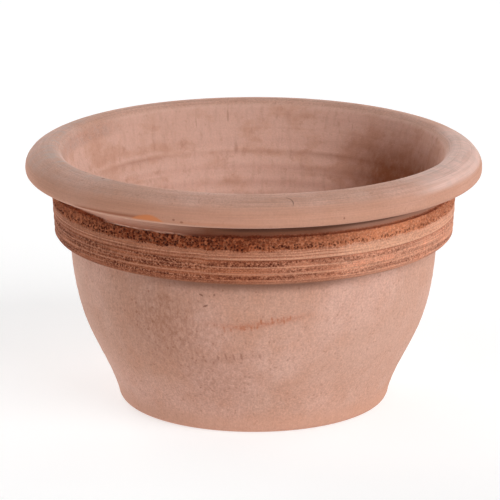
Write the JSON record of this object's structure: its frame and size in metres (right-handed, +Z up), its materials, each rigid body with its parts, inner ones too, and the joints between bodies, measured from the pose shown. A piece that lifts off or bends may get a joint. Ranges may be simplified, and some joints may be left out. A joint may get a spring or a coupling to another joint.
{
  "type": "terracotta pot",
  "caption": "Low, wide round clay pot with a heavy rolled rim, a rough combed band under the rim, a curved wall drawn in to a narrower foot, and a drain hole.",
  "frame": {"origin": "centre of the base on the ground", "axes": "+Z up along the pot's turning axis; the pot is round, so +X and +Y are any two level directions"},
  "size_m": [0.35, 0.35, 0.2],
  "materials": {
    "terracotta": "matt, unglazed, pale salt bloom over pink clay",
    "combed_terracotta": "matt, unglazed, torn and combed, darker red clay"
  },
  "bodies": {
    "root": {"floor": "terracotta", "wall": "terracotta", "band": "combed_terracotta", "rim": "terracotta"}
  },
  "joints": []
}
